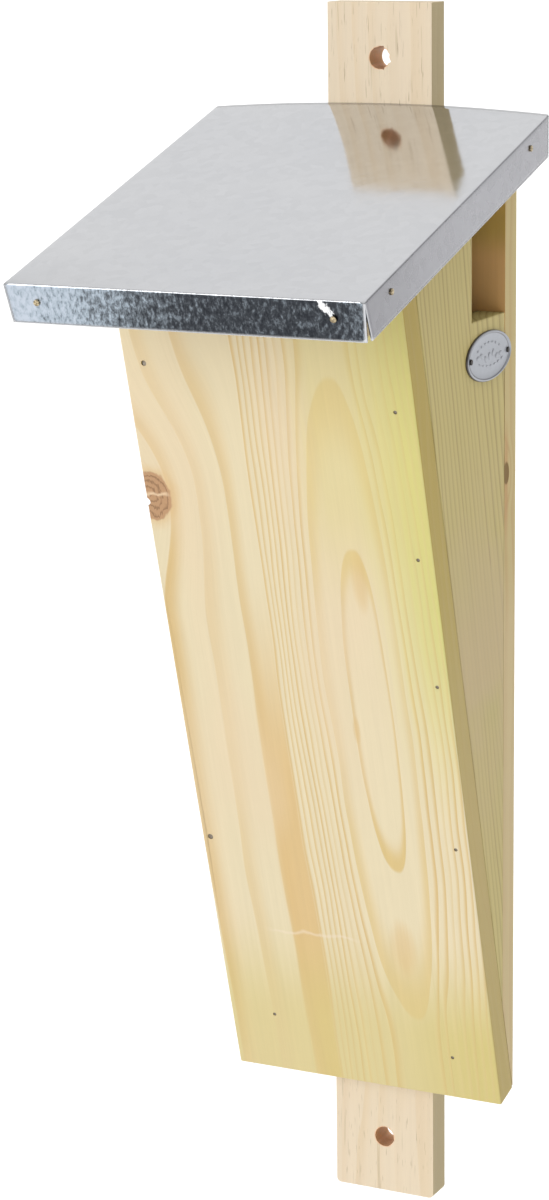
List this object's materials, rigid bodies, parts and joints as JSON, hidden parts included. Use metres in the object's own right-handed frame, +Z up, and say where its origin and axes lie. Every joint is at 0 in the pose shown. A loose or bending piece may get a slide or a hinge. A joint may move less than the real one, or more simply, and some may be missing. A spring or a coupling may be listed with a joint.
{
  "type": "wedge nest box",
  "caption": "Wedge-shaped wooden nest box on a long batten, with a zinc-covered lean-to roof, a side entrance notch by the back board and a side board that swings open for cleaning.",
  "frame": {"origin": "middle of the two fixing holes, on the batten's back face", "axes": "+Z up along the batten, -Y out from the wall towards the front board, +X to the entrance side"},
  "size_m": [0.1684, 0.209, 0.575],
  "materials": {
    "front_wood": "planed pine, oiled by its green impregnation, matt",
    "side_wood": "sawn and planed pine, matt",
    "batten_wood": "sawn spruce, matt",
    "roof_wood": "sawn pine, matt",
    "zinc_sheet": "hot-dip zinc on steel sheet, spangled, half bright",
    "badge_zinc": "stamped soft metal plate, dull",
    "brass_pins": "tarnished brass",
    "steel_nails": "bright wire nails, dulled"
  },
  "bodies": {
    "nest_box": {"mounting_batten": "batten_wood", "batten_nails": "steel_nails", "back_board": "side_wood", "right_side": "side_wood", "back_brads": "steel_nails", "front_board": "front_wood", "front_brads": "steel_nails", "toe_brads": "steel_nails", "front_pivot_nail": "steel_nails", "rear_pivot_nail": "steel_nails", "roof_board": "roof_wood", "roof_board_nails": "steel_nails", "roof_sheet": "zinc_sheet", "front_flange_pins": "brass_pins", "left_flange_pins": "brass_pins", "right_flange_pins": "brass_pins", "badge_plate": "badge_zinc", "badge_nails": "steel_nails"},
    "cleaning_door": {"left_side_door": "side_wood"},
    "lock_pin": {"lock_nail": "steel_nails"}
  },
  "joints": [
    {"name": "door_swing", "type": "hinge", "parent": "nest_box", "child": "cleaning_door", "pos_m": [-0.0615, -0.07, 0.134], "axis": [0, 1, 0], "range_deg": [0, 30]},
    {"name": "lock_nail_pull", "type": "slide", "parent": "nest_box", "child": "lock_pin", "axis": [0, -0.9627, -0.2706], "range_m": [0, 0.02]}
  ]
}
